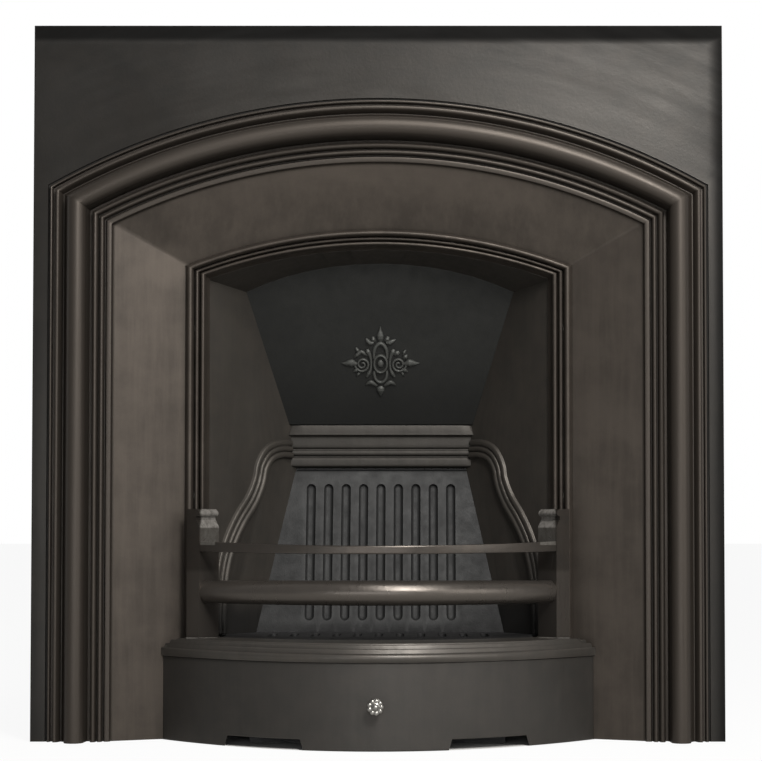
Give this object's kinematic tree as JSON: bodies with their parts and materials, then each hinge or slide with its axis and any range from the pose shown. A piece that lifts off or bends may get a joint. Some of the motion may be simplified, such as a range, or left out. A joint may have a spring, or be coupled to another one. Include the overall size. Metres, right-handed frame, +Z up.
{
  "type": "cast iron fireplace insert",
  "caption": "Arched cast-iron fireplace insert with a moulded frame, splayed panels, bowed fire bars, fluted fireback, tilting smoke flap and lift-away ash cover.",
  "frame": {"origin": "middle of the footprint, on the hearth", "axes": "+Z up, -Y towards the room (the face of the insert), +X to the right seen from the room"},
  "size_m": [0.93, 0.3844, 0.965],
  "materials": {
    "black_lead": "graphite-polished cast iron, brushed, faintly warm",
    "fire_iron": "matt grey cast iron of the fire",
    "flap_iron": "dark matt cast iron of the smoke flap",
    "polished_steel": "bright polished knob",
    "bolt_steel": "dull bolt and rod steel",
    "pan_steel": "dark stove-painted sheet"
  },
  "bodies": {
    "insert": {"front_frame": "black_lead", "left_cheek": "black_lead", "right_cheek": "black_lead", "soffit_plate": "black_lead", "fireback_ledge": "black_lead", "fireback": "fire_iron", "front_rail": "black_lead", "flap_hinge_rod": "bolt_steel", "left_cheek_bolt_1": "bolt_steel", "left_cheek_bolt_2": "bolt_steel", "left_cheek_bolt_3": "bolt_steel", "right_cheek_bolt_1": "bolt_steel", "right_cheek_bolt_2": "bolt_steel", "right_cheek_bolt_3": "bolt_steel", "left_soffit_bolt": "bolt_steel", "left_rail_bolt": "bolt_steel", "left_ledge_bolt": "bolt_steel", "right_soffit_bolt": "bolt_steel", "right_rail_bolt": "bolt_steel", "right_ledge_bolt": "bolt_steel"},
    "smoke_flap": {"damper_flap": "flap_iron"},
    "bars": {"front_bars": "black_lead"},
    "grate": {"bottom_grate": "fire_iron"},
    "cover": {"ashpan_cover": "black_lead", "cover_knob": "polished_steel", "cover_knob_nut": "bolt_steel"},
    "pan": {"ashpan": "pan_steel", "ashpan_handle": "pan_steel"}
  },
  "joints": [
    {"name": "flap_tilt", "type": "hinge", "parent": "insert", "child": "smoke_flap", "pos_m": [0, 0.17301, 0.44168], "axis": [-1, 0, 0], "range_deg": [0, 35]},
    {"name": "bars_lift", "type": "slide", "parent": "insert", "child": "bars", "axis": [0, 0, 1], "range_m": [0, 0.06]},
    {"name": "grate_lift", "type": "slide", "parent": "insert", "child": "grate", "axis": [0, 0, 1], "range_m": [0, 0.1]},
    {"name": "cover_away", "type": "slide", "parent": "insert", "child": "cover", "axis": [0, -1, 0], "range_m": [0, 0.3]},
    {"name": "pan_out", "type": "slide", "parent": "insert", "child": "pan", "axis": [0, -1, 0], "range_m": [0, 0.18]}
  ],
  "couplings": [
    {"joint": "pan_out", "follows": "cover_away", "ratio": 0.6}
  ]
}
